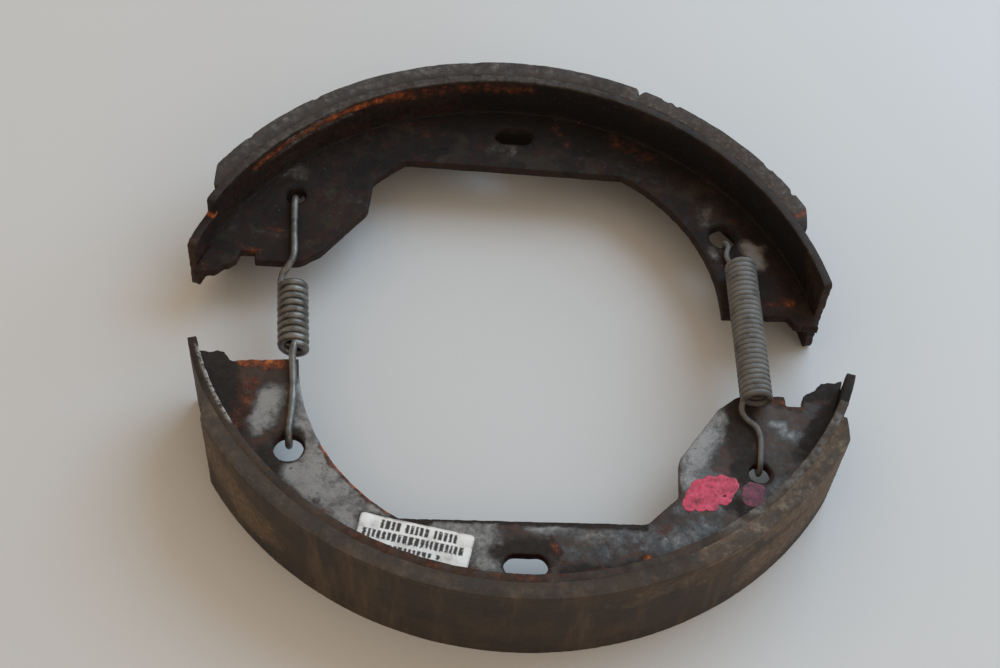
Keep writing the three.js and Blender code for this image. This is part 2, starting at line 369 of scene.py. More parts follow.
class Finish:
    """A Principled material and short calls for the nodes that feed it."""

    def __init__(self, name):
        self.material = bpy.data.materials.new(name)
        self.material.use_nodes = True
        self.tree = self.material.node_tree
        self.shader = self.tree.nodes["Principled BSDF"]
        self.place = self.tree.nodes.new("ShaderNodeTexCoord").outputs["Object"]

    def fill(self, node, inputs):
        """Link or set some of a node's inputs."""
        for key, value in inputs.items():
            if isinstance(value, bpy.types.NodeSocket):
                self.tree.links.new(value, node.inputs[key])
            else:
                node.inputs[key].default_value = value

    def node(self, kind, inputs, **settings):
        node = self.tree.nodes.new(f"ShaderNode{kind}")
        for setting, value in settings.items():
            setattr(node, setting, value)
        self.fill(node, inputs)
        return node

    def mark(self, name):
        return self.node("Attribute", {}, attribute_name=name).outputs["Fac"]

    def grain(self, scale, detail, roughness, stretch=(1, 1, 1), shift=0.0):
        """Noise, 0 to 1. scale is in features per metre."""
        mapping = {"Vector": self.place, "Scale": stretch, "Location": (shift, shift, shift)}
        place = self.node("Mapping", mapping).outputs["Vector"]
        inputs = {"Vector": place, "Scale": scale, "Detail": detail, "Roughness": roughness}
        return self.node("TexNoise", inputs).outputs["Fac"]

    def level(self, value, low, high, to_low=0.0, to_high=1.0):
        inputs = {"Value": value, "From Min": low, "From Max": high, "To Min": to_low, "To Max": to_high}
        return self.node("MapRange", inputs, interpolation_type="SMOOTHSTEP").outputs["Result"]

    def math(self, operation, a, b):
        """One step of arithmetic, held between 0 and 1."""
        return self.node("Math", {0: a, 1: b}, operation=operation, use_clamp=True).outputs[0]

    def added(self, a, b, share):
        """a plus share times b, not clamped."""
        return self.node("Math", {0: b, 1: share, 2: a}, operation="MULTIPLY_ADD").outputs[0]

    def mix(self, share, a, b):
        return self.node("Mix", {"Factor": share, 6: a, 7: b}, data_type="RGBA").outputs[2]

    def ramp(self, value, positions, tones):
        node = self.node("ValToRGB", {"Fac": value})
        elements = node.color_ramp.elements
        while len(elements) < len(tones):
            elements.new(0.5)
        for element, position, tone in zip(elements, positions, tones):
            element.position = position
            element.color = tone
        return node.outputs["Color"]

    def broken(self, mark, grain, amount, low, high):
        """A painted mark, 0 to 1, whose border is broken up by noise."""
        mixed = self.added(self.mark(mark), grain, amount)
        return self.level(mixed, low + amount / 2, high + amount / 2)

    def patchy(self, mark, grain, low, high, at_low=0.0, at_high=1.0):
        """A painted mark, 0 to 1, that noise thins out inside."""
        return self.math("MULTIPLY", self.mark(mark), self.level(grain, low, high, at_low, at_high))

    def flecked(self, colour, grain, low, high, share, tone):
        """Colour with a share of another tone where the noise is high."""
        return self.mix(self.level(grain, low, high, 0, share), colour, tone)

    def pitted(self, colour, grain, low, high, share, tone):
        """Colour with a share of another tone where the noise is low."""
        return self.mix(self.level(grain, low, high, share, 0), colour, tone)

    def rusted(self, colour, shift):
        """Colour under rust, brightest where the rust mark is strong, and the rust's share."""
        share = self.broken("rust", self.grain(300, 6, 0.7, shift=shift), 1.6, 0.25, 0.75)
        heat = self.added(self.mark("rust"), self.grain(520, 6, 0.72, shift=shift + 0.7), 2.0)
        tone = self.ramp(self.level(heat, 1.0, 2.5), (0.15, 0.42, 0.68, 0.92), RUST)
        return self.mix(self.math("MULTIPLY", share, 0.9), colour, tone), share

    def bumps(self, *layers):
        """Bump from (height, depth in mm) pairs."""
        normal = {}
        for height, depth in layers:
            inputs = {"Strength": 1.0, "Distance": depth * MM, "Height": height, **normal}
            normal = {"Normal": self.node("Bump", inputs).outputs["Normal"]}
        self.fill(self.shader, normal)

    def done(self, colour, roughness, metallic):
        self.fill(self.shader, {"Base Color": colour, "Roughness": roughness, "Metallic": metallic})
        return self.material


RUST = (rgb(48, 27, 19), rgb(86, 44, 25), rgb(142, 70, 30), rgb(196, 116, 52))
FLECK = rgb(150, 140, 126)
PIT = rgb(24, 19, 16)
GLINT = rgb(186, 180, 172)

# Tones of rusted steel: its scale, three stains, the dust on its edges and its bare metal.
DARK_METAL = (rgb(32, 26, 22), rgb(50, 43, 37), rgb(78, 71, 65), rgb(122, 118, 114))
GREY_METAL = (rgb(42, 39, 36), rgb(70, 68, 66), rgb(99, 96, 93), rgb(140, 137, 133))
UPPER_STEEL = {
    "scale": (rgb(17, 12, 9), rgb(25, 18, 14), rgb(38, 28, 21)),
    "fine": rgb(54, 30, 22),
    "red": rgb(48, 22, 16),
    "olive": rgb(50, 44, 32),
    "dust": (rgb(50, 44, 40), rgb(88, 82, 76)),
    "metal": DARK_METAL,
}
LOWER_WEB_STEEL = {
    "scale": (rgb(40, 30, 24), rgb(56, 44, 35), rgb(74, 60, 49)),
    "fine": rgb(92, 62, 44),
    "red": rgb(82, 46, 32),
    "olive": rgb(66, 60, 50),
    "dust": (rgb(54, 44, 36), rgb(78, 65, 55)),
    "metal": GREY_METAL,
}
LOWER_TABLE_STEEL = {
    "scale": (rgb(34, 27, 22), rgb(48, 38, 31), rgb(66, 54, 44)),
    "fine": rgb(90, 60, 42),
    "red": rgb(66, 46, 34),
    "olive": rgb(64, 56, 44),
    "dust": (rgb(50, 42, 34), rgb(76, 64, 53)),
    "metal": GREY_METAL,
}

# Tones of friction lining: its face, the dusty band along its edge, and its streaks.
UPPER_FRICTION = {
    "face": (rgb(30, 24, 20), rgb(42, 34, 28), rgb(56, 46, 38)),
    "band": (rgb(44, 38, 35), rgb(66, 60, 56), rgb(100, 94, 89)),
    "streak": rgb(66, 54, 45),
}
LOWER_FRICTION = {
    "face": (rgb(34, 28, 22), rgb(49, 39, 31), rgb(68, 56, 44)),
    "band": (rgb(50, 41, 32), rgb(70, 59, 48), rgb(116, 104, 89)),
    "streak": rgb(94, 74, 55),
}


def shoe_steel(name, tones, film, rim, metallic, gloss, sheen):
    """Stamped steel that has rusted: scale under a film of dirt, with bare and rusty marks."""
    f = Finish(name)
    blotch = f.grain(95, 6, 0.62)
    fine = f.grain(620, 5, 0.65, shift=0.3)
    spots = f.grain(1900, 3, 0.6, shift=0.7)
    colour = f.ramp(blotch, (0.34, 0.5, 0.66), tones["scale"])
    colour = f.flecked(colour, fine, 0.45, 0.72, 0.5, tones["fine"])
    colour = f.flecked(colour, f.grain(130, 5, 0.6, shift=10.3), 0.5, 0.64, 0.6, tones["red"])
    colour = f.flecked(colour, f.grain(110, 5, 0.6, shift=12.9), 0.54, 0.66, 0.5, tones["olive"])

    shimmer = f.added(f.grain(180, 5, 0.65, shift=3.1), f.grain(700, 4, 0.7, shift=9.2), 0.8)
    shine = f.level(f.added(f.mark("bare"), shimmer, 1.5), 1.0, 2.7)
    metal = f.ramp(shine, (0.15, 0.45, 0.7, 0.95), tones["metal"])
    colour = f.mix(f.broken("bare", f.grain(240, 6, 0.72, shift=2.3), 2.4, 0.2, 0.7), colour, metal)

    dirt = f.broken("dirt", f.grain(150, 6, 0.65, shift=1.1), 1.8, 0.2, 0.8)
    colour = f.mix(dirt, colour, film)
    colour = f.mix(f.patchy("rim", f.grain(260, 5, 0.6, shift=5.7), 0.35, 0.6), colour, rim)
    dust = f.patchy("dust", f.grain(240, 6, 0.7, shift=6.1), 0.3, 0.62, 0.35)
    colour = f.mix(dust, colour, f.ramp(fine, (0.35, 0.65), tones["dust"]))
    colour = f.mix(f.patchy("glint", f.grain(900, 4, 0.7, shift=7.3), 0.4, 0.56), colour, GLINT)
    colour, rust = f.rusted(colour, shift=4.2)
    colour = f.flecked(colour, spots, 0.69, 0.74, 0.55, FLECK)
    colour = f.pitted(colour, f.grain(1050, 4, 0.65, shift=8.4), 0.29, 0.4, 0.8, PIT)

    covered = f.math("MAXIMUM", f.math("MAXIMUM", rust, dirt), dust)
    rough = f.math("ADD", f.level(covered, 0, 1, gloss, 0.78), f.level(fine, 0.3, 0.7, -0.08, 0.1))
    f.bumps((blotch, 0.12), (fine, 0.1), (spots, 0.04), (rust, 0.08))
    f.shader.inputs["Specular IOR Level"].default_value = sheen
    return f.done(colour, rough, f.level(covered, 0, 1, metallic, 0.05))


def friction(name, tones):
    """Moulded friction lining: gritty, streaked where the drum rubbed it, dusty on its edges."""
    f = Finish(name)
    light_face, light_band = tones["face"][2], tones["band"][2]
    cloud = f.grain(60, 6, 0.65)
    grit = f.grain(1500, 4, 0.7, shift=0.4)
    chips = f.grain(700, 5, 0.7, shift=1.9)
    scuffs = f.grain(110, 5, 0.7, stretch=(1, 1, 0.16), shift=2.4)
    rubbed = f.grain(420, 4, 0.6, stretch=(0.05, 0.05, 1.4), shift=3.3)
    colour = f.ramp(cloud, (0.35, 0.5, 0.65), tones["face"])
    colour = f.flecked(colour, scuffs, 0.48, 0.7, 0.55, tones["streak"])
    colour = f.flecked(colour, rubbed, 0.5, 0.75, 0.3, light_face)

    # The bare mark is wear, and on the lower lining it is also painted light that makes the face paler
    # towards both ends.
    bare = f.broken("bare", f.grain(160, 6, 0.7, shift=4.1), 1.6, 0.2, 0.8)
    worn = f.ramp(chips, (0.35, 0.52, 0.68), (light_face, tones["streak"], light_band))
    colour = f.mix(f.math("MULTIPLY", bare, 0.9), colour, worn)
    band = f.ramp(f.grain(300, 6, 0.7, shift=5.2), (0.36, 0.52, 0.66), tones["band"])
    colour = f.mix(f.patchy("dust", chips, 0.28, 0.55, 0.45), colour, band)
    colour, _ = f.rusted(colour, shift=6.6)
    colour = f.flecked(colour, grit, 0.66, 0.73, 0.6, rgb(148, 134, 116))
    colour = f.pitted(colour, grit, 0.27, 0.36, 0.7, rgb(20, 17, 14))
    f.bumps((chips, 0.16), (grit, 0.08), (scuffs, 0.12))
    return f.done(colour, f.level(cloud, 0.3, 0.7, 0.72, 0.92), 0.0)


def spring_steel(name, low, high, dust_tone, metallic, gloss):
    """Drawn wire with a worn, dusty coating and a few rust specks."""
    f = Finish(name)
    patches = f.grain(260, 6, 0.65)
    fine = f.grain(1400, 4, 0.6, shift=0.9)
    dusty = f.patchy("dust", f.grain(340, 5, 0.7, shift=2.2), 0.42, 0.62)
    colour = f.mix(dusty, f.ramp(patches, (0.35, 0.65), (low, high)), dust_tone)
    colour = f.flecked(colour, fine, 0.66, 0.76, 0.6, rgb(120, 92, 70))
    colour = f.pitted(colour, fine, 0.24, 0.34, 0.7, rgb(26, 23, 21))
    f.bumps((patches, 0.06), (fine, 0.03))
    rough = f.level(dusty, 0, 1, gloss, 0.75)
    return f.done(colour, rough, f.level(dusty, 0, 1, metallic, 0.25))


def label_paper():
    f = Finish("label_paper")
    smudge = f.grain(240, 5, 0.65)
    paper = (rgb(196, 192, 186), rgb(232, 229, 224), rgb(243, 241, 237))
    colour = f.ramp(smudge, (0.3, 0.5, 0.7), paper)
    # Painted shadow: the rim mark darkens the label's edge patchily, standing for the thin shadow round
    # the label.
    colour = f.mix(f.patchy("rim", smudge, 0.35, 0.6, 0.9, 0.3), colour, rgb(120, 112, 100))
    ink = f.patchy("ink", f.grain(900, 3, 0.6, shift=1.3), 0.28, 0.4, 0.35)
    colour = f.mix(ink, colour, rgb(46, 40, 38))
    f.bumps((f.grain(900, 4, 0.6, shift=2.6), 0.03))
    return f.done(colour, f.level(smudge, 0.3, 0.7, 0.6, 0.45), 0.0)


def marker_paint(name, low, high):
    f = Finish(name)
    thin = f.grain(520, 5, 0.7)
    colour = f.ramp(thin, (0.3, 0.42, 0.62), (rgb(74, 34, 40), low, high))
    f.bumps((thin, 0.05))
    return f.done(colour, f.level(thin, 0.3, 0.7, 0.62, 0.45), 0.0)


def floor_paint():
    f = Finish("floor_paint")
    colour = f.ramp(f.grain(3, 3, 0.5), (0.3, 0.7), (rgb(196, 194, 191), rgb(203, 202, 200)))
    f.bumps((f.grain(900, 3, 0.5), 0.02))
    return f.done(colour, 0.6, 0.0)


def make_materials():
    return {
        "upper_web": shoe_steel(
            "dark_steel", UPPER_STEEL, film=rgb(20, 15, 12), rim=rgb(44, 28, 20),
            metallic=0.05, gloss=0.7, sheen=0.24),
        "upper_table": shoe_steel(
            "dark_table", UPPER_STEEL, film=rgb(17, 12, 10), rim=rgb(56, 36, 25),
            metallic=0.05, gloss=0.66, sheen=0.3),
        "lower_web": shoe_steel(
            "worn_steel", LOWER_WEB_STEEL, film=rgb(36, 28, 22), rim=rgb(70, 30, 22),
            metallic=0.2, gloss=0.52, sheen=0.35),
        "lower_table": shoe_steel(
            "rusted_steel", LOWER_TABLE_STEEL, film=rgb(28, 22, 18), rim=rgb(50, 38, 30),
            metallic=0.15, gloss=0.6, sheen=0.3),
        "upper_lining": friction("dark_lining", UPPER_FRICTION),
        "lower_lining": friction("brown_lining", LOWER_FRICTION),
        "left_spring": spring_steel(
            "heavy_spring_steel", rgb(72, 69, 66), rgb(130, 127, 122), rgb(100, 95, 88),
            metallic=0.65, gloss=0.36),
        "right_spring": spring_steel(
            "light_spring_steel", rgb(76, 74, 71), rgb(118, 117, 114), rgb(108, 106, 102),
            metallic=0.3, gloss=0.62),
        "label": label_paper(),
        "red": marker_paint("red_marker", rgb(170, 44, 66), rgb(214, 62, 92)),
        "crimson": marker_paint("crimson_marker", rgb(92, 34, 50), rgb(136, 46, 68)),
        "floor": floor_paint(),
    }


# -------- marks

# Strokes on each web, as (x0, y0, x1, y1, radius, strength) in the pair's frame.
WEB_MARKS = {
    "lower": {
        "bare": [
            (-60.5, -23.5, -62.5, -30, 5.5, 1.1), (-63.5, -33, -63, -34, 3, 0.9),
            (-53, -20, -51, -36, 5, 0.9), (-50, -38, -40, -53, 8, 1.0), (-53, -45, -48, -49, 5, 1.3),
            (-47, -50, -38, -58, 6, 1.0), (-36, -56, -8, -62, 8, 0.9), (-6, -57, -4, -68, 6, 0.9),
            (6, -56, 10, -57, 4, 1.2), (10, -58, 45, -59, 6, 0.6), (14, -64, 38, -62, 4, 0.5),
            (44, -50, 50, -57, 6, 0.6), (46, -36, 52, -24, 6.5, 1.05), (46, -41, 52, -46, 7, 0.95),
            (67, -24.5, 70, -24.5, 2, 0.85), (70, -27.5, 75, -28, 2.6, 0.8), (60, -50, 70, -40, 3, 0.5),
        ],
        "rust": [
            (-69, -13, -60, -13.5, 3.4, 0.9), (34, -64.5, 34.5, -65, 2, 1.0), (42, -63, 44, -62, 2, 0.8),
            (-66, -20, -70, -36, 5, 0.6), (20, -70, 42, -67, 3, 0.7), (-47, -54, -44, -57, 3, 0.6),
            (10, -60, 14, -66, 2.5, 0.55), (66, -17, 74, -19, 3, 0.6), (62, -22, 66, -30, 3, 0.35),
            (-46.6, -37.6, -42.1, -43.8, 1.7, 0.9), (-42.1, -43.8, -35.3, -50.6, 1.6, 0.85),
            (-35.3, -50.6, -29.1, -55.1, 1.5, 0.8),
        ],
        "dirt": [
            (-76, -12, -70, -40, 8, 0.9), (-60, -42, -58, -54, 6, 0.8), (58, -20, 60, -40, 6, 0.9),
            (76, -34, 84, -20, 6, 0.8), (-1, -64, 10, -64, 5, 0.8), (52, -46, 62, -51, 4, 0.8),
            (-56, -56, -30, -69, 5, 0.9), (-57, -36, -54, -35, 4, 0.8), (-36, -57, -20, -58, 2.5, 0.7),
            (60, -15, 84, -12, 6, 1.0), (-80, -12, -74, -12, 6, 1.0), (-28, -56.5, 34, -56, 1.4, 1.0),
            (14, -70, 40, -66, 3.5, 0.7),
        ],
    },
    "upper": {
        "bare": [
            (-70, 54, -60, 50, 5, 0.62), (-7, 63, -1, 62, 4, 0.5), (64, 32, 67, 27, 3.8, 1.15),
            (67, 31, 69, 33, 2.4, 1.1), (55, 28, 54, 31, 2.4, 0.7), (-74, 44, -66, 56, 3, 0.45),
            (52, 40, 53, 46, 4, 0.6), (-76, 30, -62, 28, 4, 0.4), (-50, 44, -40, 40, 5, 0.35),
            (20, 60, 40, 52, 6, 0.35),
        ],
        "rust": [
            (-74, 24, -69, 22, 2.2, 0.52), (66, 12, 74, 14, 3.5, 0.6), (-67, 30, -63, 29.5, 1.2, 0.7),
            (28, 68, 38, 62, 5, 0.5), (-84, 14, -84, 26, 4, 0.45), (-30, 70, -24, 64, 4, 0.45),
            (56, 42, 64, 40, 4, 0.4), (10, 72, 14, 66, 3, 0.45), (-56, 40, -48, 48, 5, 0.4),
        ],
        "dirt": [
            (-30, 78, 60, 60, 9, 0.9), (60, 56, 76, 30, 9, 0.9), (-46, 52, -20, 62, 6, 0.6),
        ],
    },
}

# The same on each table and lining, as (degrees, z, degrees, z, radius, strength).
TABLE_MARKS = {
    "lower": {
        "bare": [(122, 29, 152, 29, 2.5, 0.9)],
        "rust": [(60, 29, 96, 29, 2, 0.5), (15, 8, 16, 24, 3, 0.5), (160, 12, 163, 20, 4, 0.4)],
        "dirt": [(30, 26, 130, 26, 3, 0.5), (156, 22, 165, 22, 8, 1.1), (14, 28, 24, 28, 4, 0.8)],
        "glint": [(17, 29.5, 33, 29.5, 0.8, 0.85)],
    },
    "upper": {
        "bare": [(122, 25.8, 140, 25, 1.6, 0.8)],
        "rust": [
            (112, 27.6, 127, 27.2, 2.2, 0.9), (127, 27.2, 144, 26.4, 2.4, 0.75), (88, 26, 114, 27, 4, 0.6),
            (96, 20, 140, 20, 4, 0.3), (155.5, 24, 156.5, 23.7, 1.2, 1.0), (159, 10, 163, 20, 5, 0.45),
            (16, 27, 22, 29, 1.8, 0.45),
        ],
        "dirt": [(25, 22, 96, 22, 9, 0.9)],
        "glint": [(124, 28, 136, 27, 1.2, 0.5)],
    },
}
LINING_MARKS = {
    "lower": {
        "bare": [
            # The two broad strokes of radius 12, at 28 to 44 and 128 to 150 degrees, are painted light
            # that makes the face paler towards both ends.
            (130, 28, 152, 20, 7, 0.9), (118, 30, 150, 29, 3, 1.0), (28, 22, 44, 12, 12, 0.8),
            (128, 12, 150, 14, 12, 0.8), (104, 24, 124, 24, 6, 0.45),
        ],
        "rust": [(100, 6, 112, 3, 3, 0.4), (27, 10, 28, 26, 2.5, 0.5)],
    },
    "upper": {
        "bare": [(30, 30, 70, 30, 2.5, 0.7)],
        "rust": [(27, 20, 30, 29, 2.2, 0.8), (148, 29, 152, 28, 2, 0.5)],
    },
}

# Chips out of each lining's upper outer edge, as (degrees, half length in degrees, depth).
LINING_CHIPS = {
    "upper": [
        (67.9, 0.6, 1.3), (63, 1.0, 0.3), (61, 0.5, 0.4), (41, 1.1, 0.35), (34.5, 0.7, 0.5),
        (98, 1.5, 0.2), (127, 0.8, 0.3), (141, 0.9, 0.3),
    ],
    "lower": [
        (38, 0.9, 0.35), (57, 0.6, 0.3), (75, 0.8, 0.3), (108, 1.2, 0.3), (131, 0.8, 0.4),
        (146, 1.0, 0.45),
    ],
}


def painted(marks, points):
    """How strong each mark is at each point."""
    return {
        mark: [strokes_at(strokes, u, v) for u, v, _ in points]
        for mark, strokes in marks.items()
    }


# -------- webs

def wound(ring, sign):
    """The ring, made to run counter-clockwise for a sign of 1 and clockwise for -1."""
    ahead = np.roll(ring, -1, axis=0)
    area = np.sum(ring[:, 0] * ahead[:, 1] - ahead[:, 0] * ring[:, 1]) / 2
    return ring if area * sign > 0 else ring[::-1]


def web_rings():
    hub_x, hub_y, hub_radius = HUB_ARC
    hub_end = math.degrees(math.asin((INNER_EDGE - hub_y) / hub_radius))
    hub = arc(hub_x, hub_y, hub_radius, 2, hub_end)
    plain_foot = (83.92, 17.6)
    lobe_foot = (-83.05, 21.3)
    plain_end = [(77.3, 17.8, 1.0), (75.8, 20.4, 1.0)]
    lobe = [
        (-30, INNER_EDGE, 3.0), (-38.3, 57, 3.0), (-38.8, 46.5, 5.0), (-50, 31, 5.5), (-55.5, 26.8, 5.0),
        (-67.5, 26.6, 0.6), (-67.5, 29.6, 0.5), (-71.6, 29.6, 0.5), (-72.3, 26.3, 0.6),
        (-75, 24.9, 0.8), (-77.5, 22.3, 1.0),
    ]
    rim_start = math.degrees(math.atan2(lobe_foot[1], lobe_foot[0]))
    rim_end = math.degrees(math.atan2(plain_foot[1], plain_foot[0]))
    outer = np.vstack([
        rounded(plain_foot, plain_end, hub[0]),
        hub,
        rounded(hub[-1], lobe, lobe_foot),
        arc(0, 0, WEB_RADIUS, rim_start, rim_end),
    ])
    slot_x, slot_y, slot_length, slot_width = SLOT
    reach = (slot_length - slot_width) / 2
    slot = np.vstack([
        arc(slot_x - reach, slot_y, slot_width / 2, 90, 270, HOLE_STEP),
        arc(slot_x + reach, slot_y, slot_width / 2, -90, 90, HOLE_STEP),
    ])
    holes = [arc(x, y, radius, 0, 360, HOLE_STEP)[:-1] for x, y, radius in (WIDE_HOLE, NARROW_HOLE)]
    return [wound(outer, 1), *(wound(ring, -1) for ring in (*holes, slot))]


def web_relief(x, y, seed):
    """How far the web's surface stands off flat: hammered waviness, scale and pits."""
    broad = 0.07 * wave(x, y, seed, 0.09, 3)
    scale = 0.05 * wave(x, y, seed + 3.0, 0.55, 3)
    pits = 0.16 * fade(wave(x, y, seed + 7.0, 0.8, 2), 0.35, 0.8)
    return broad + scale - pits


def stamped_dip(x, y):
    """The rolled-over edge that punching leaves round each hole."""
    depth = 0.0
    for hx, hy, radius in (WIDE_HOLE, NARROW_HOLE):
        depth += 0.12 * (1 - fade(math.hypot(x - hx, y - hy), radius, radius + 0.9))
    return depth


def hole_wall(x, y):
    """1 on the wall of a hole or the slot, fading out just round it, where grime collects."""
    slot_x, slot_y, slot_length, slot_width = SLOT
    beside = max(0.0, abs(x - slot_x) - (slot_length - slot_width) / 2)
    near = [math.hypot(beside, y - slot_y) - slot_width / 2]
    near += [math.hypot(x - hx, y - hy) - radius for hx, hy, radius in (WIDE_HOLE, NARROW_HOLE)]
    return 1 - fade(min(near), 0.1, 0.7)


def web_top(x, y, seed):
    return HALF_WEB - 0.1 + web_relief(x, y, seed) - stamped_dip(x, y)


def web_ragged(x, y):
    """Edges wander most at the two ends, where rust has eaten them."""
    ends = max(fade(x, 62, 78), fade(-x, 62, 80)) * (1 - fade(y, 24, 34))
    near_rim = fade(math.hypot(x, y), 83.5, 85)
    return (0.10 + 0.45 * ends) * (1 - near_rim)


def build_web(shoe, material):
    seed = WEB_SEEDS[shoe]
    points, faces = plate(
        web_rings(),
        lambda x, y: web_top(x, y, seed),
        lambda x, y: -HALF_WEB + 0.1 + web_relief(x, -y, seed + 50),
        spacing=1.0, step=0.55, rim=0.35, ragged=web_ragged, seed=seed,
    )
    placed = [(*shoe_to_pair(shoe, x, y), MIDDLE + w) for x, y, w in points]
    marks = painted(WEB_MARKS[shoe], placed)
    grime = [1.2 * hole_wall(x, y) for x, y, _ in points]
    marks["dirt"] = [max(pair) for pair in zip(marks["dirt"], grime)]
    marks["rim"] = [fade(HALF_WEB - abs(w), 0.15, 0.5) for _, _, w in points]
    piece = make_piece(f"{shoe}_web_plate", placed, faces, material, marks)
    mount(piece, BODIES[shoe], WEB_SLOTS[shoe], f"{shoe}_web")


# -------- tables and linings

def bend_round(shoe, u, v, w, radius):
    """A point of a flat strip bent round the drum's axis: u along the arc, v up, w outwards."""
    angle = u / radius
    x, y = shoe_to_pair(shoe, (radius + w) * math.cos(angle), (radius + w) * math.sin(angle))
    return x, y, v


def unrolled(marks, radius):
    """Marks on a bent strip, as strokes on the flat one."""
    degree = math.radians(1) * radius
    return {
        mark: [(a * degree, z0, b * degree, z1, size, share) for a, z0, b, z1, size, share in strokes]
        for mark, strokes in marks.items()
    }


def frayed(from_start, from_end, start_reach, end_reach):
    """How far a strip's edge may wander: further within reach of its two ends."""
    return 0.16 + 0.3 * max(1 - fade(from_start, 0, start_reach), 1 - fade(from_end, 0, end_reach))


def rim_dust(shoe, angle):
    """How dusty the upward edges are at an angle: patchily so, and not near the tab."""
    if shoe == "upper":
        return (0.35 + 0.65 * fade(angle, 62, 88)) * (1 - 0.7 * fade(angle, 140, 150))
    return (0.2 + 0.8 * fade(angle, 108, 126)) * (1 - fade(angle, 152, 156))


def table_ring(shoe, radius):
    angles = (TABLE_START, TAB_START, TABLE_END[shoe])
    start, tab, end = (math.radians(angle) * radius for angle in angles)
    low_tab, high_tab = MIDDLE - TAB_WIDTH / 2, MIDDLE + TAB_WIDTH / 2
    corners = [
        (tab, TABLE_BOTTOM, 1.5), (tab, low_tab, 1.2), (end, low_tab, 1.6),
        (end, high_tab, 1.6), (tab, high_tab, 1.2), (tab, TABLE_TOP, 1.5),
        (start, TABLE_TOP, 0.8), (start, TABLE_BOTTOM, 0.8),
    ]
    return rounded((start, TABLE_BOTTOM), corners, (tab, TABLE_BOTTOM))


def build_table(shoe, material):
    radius = (TABLE_INNER + TABLE_OUTER) / 2
    half = (TABLE_OUTER - TABLE_INNER) / 2
    seed = TABLE_SEEDS[shoe]
    first, last = (math.radians(angle) * radius for angle in (TABLE_START, TABLE_END[shoe]))

    def relief(u, v, shift):
        pits = 0.18 * fade(wave(u, v, seed + shift + 5, 0.6, 2), 0.3, 0.8)
        return 0.06 * wave(u, v, seed + shift, 0.4, 3) - pits

    def dusty(u, v):
        return fade(v, TABLE_TOP - 0.5, TABLE_TOP - 0.15) * rim_dust(shoe, math.degrees(u / radius))

    points, faces = plate(
        [table_ring(shoe, radius)],
        lambda u, v: half - 0.08 + relief(u, v, 0),
        lambda u, v: -half + 0.1 - relief(u, v, 20),
        spacing=1.15, step=0.7, rim=0.2, seed=seed,
        ragged=lambda u, v: frayed(u - first, last - u, 5, 9),
    )
    points = [(u, min(TABLE_TOP + 0.1, max(TABLE_BOTTOM - 0.1, v)), w) for u, v, w in points]
    marks = painted(unrolled(TABLE_MARKS[shoe], radius), points)
    on_inner_face = [1 - fade(w, -half + 0.1, -half + 0.8) for _, _, w in points]
    marks["glint"] = [glint * share for glint, share in zip(marks["glint"], on_inner_face)]
    marks["rim"] = [max(1 - fade(u - first, 0, 1.5), 1 - fade(last - u, 0, 6)) for u, _, _ in points]
    marks["dust"] = [dusty(u, v) for u, v, _ in points]
    placed = [bend_round(shoe, u, v, w, radius) for u, v, w in points]
    piece = make_piece(f"{shoe}_table_strip", placed, faces, material, marks)
    mount(piece, BODIES[shoe], TABLE_SLOTS[shoe], f"{shoe}_table")


def lining_height(angle):
    """The lining's outer radius at an angle in degrees: full, with a ramp down at each end."""
    toe = LINING_INNER + LINING_TOE
    near_end = min(angle - LINING_ENDS[0], LINING_ENDS[1] - angle)
    share = min(1.0, max(0.0, near_end / LINING_RAMP))
    return toe + (DRUM_RADIUS - toe) * share


def chip_at(shoe, angle, z, depth_in):
    """How much is missing near the lining's upper outer edge, depth_in behind its face."""
    down = 0.0
    for centre, half, depth in LINING_CHIPS[shoe]:
        down = max(down, depth * (1 - fade(abs(angle - centre), half * 0.3, half)))
    return down * fade(z, LINING_TOP - 3, LINING_TOP) * (1 - fade(depth_in, 0.5, 3.5))


def build_lining(shoe, material):
    radius = (LINING_INNER + DRUM_RADIUS) / 2
    seed = LINING_SEEDS[shoe]
    first, last = (math.radians(angle) * radius for angle in LINING_ENDS)
    outline = [(first, LINING_BOTTOM), (last, LINING_BOTTOM), (last, LINING_TOP), (first, LINING_TOP)]

    def face(u, v):
        scores = 0.05 * wave(u * 0.02, v, seed, 1.2, 3)
        grit = 0.05 * wave(u, v, seed + 4, 0.9, 3) + 0.05 * wave(u, v, seed + 8, 0.12, 2)
        return lining_height(math.degrees(u / radius)) - radius - 0.14 + scores + grit

    points, faces = plate(
        [np.array(outline)], face, lambda u, v: TABLE_OUTER - radius - 0.2,
        spacing=1.1, step=0.7, rim=0.08, seed=seed,
        ragged=lambda u, v: frayed(u - first, last - u, 4, 4),
    )
    shaped, dust = [], []
    for u, v, w in points:
        angle = math.degrees(u / radius)
        v = min(LINING_TOP, max(LINING_BOTTOM, v))
        inwards = fade(LINING_INNER - radius - w, -2.5, 0.2)
        v -= BAND_SLOPE * inwards * (fade(v, MIDDLE, LINING_TOP) - fade(-v, -MIDDLE, -LINING_BOTTOM))
        missing = chip_at(shoe, angle, v, DRUM_RADIUS - radius - w)
        v, w = v - missing, w - 0.7 * missing
        shaped.append((u, v, w))
        on_rim = fade(v, LINING_TOP - 0.5, LINING_TOP - 0.15) * rim_dust(shoe, angle)
        dust.append(max(on_rim, fade(missing, 0.1, 0.4)))
    marks = painted(unrolled(LINING_MARKS[shoe], radius), shaped)
    marks["dust"] = dust
    placed = [bend_round(shoe, u, v, w, radius) for u, v, w in shaped]
    piece = make_piece(f"{shoe}_lining_block", placed, faces, material, marks)
    mount(piece, BODIES[shoe], "friction_lining", f"{shoe}_lining")


WELD_ENDS = (17, 160)  # degrees
WELD_STEP = 0.5
WELD_STITCH = 22  # how often the bead swells, per radian
WELD_SINK = 0.12  # how deep it lies in the web and the table
WELD_CURVE = 6


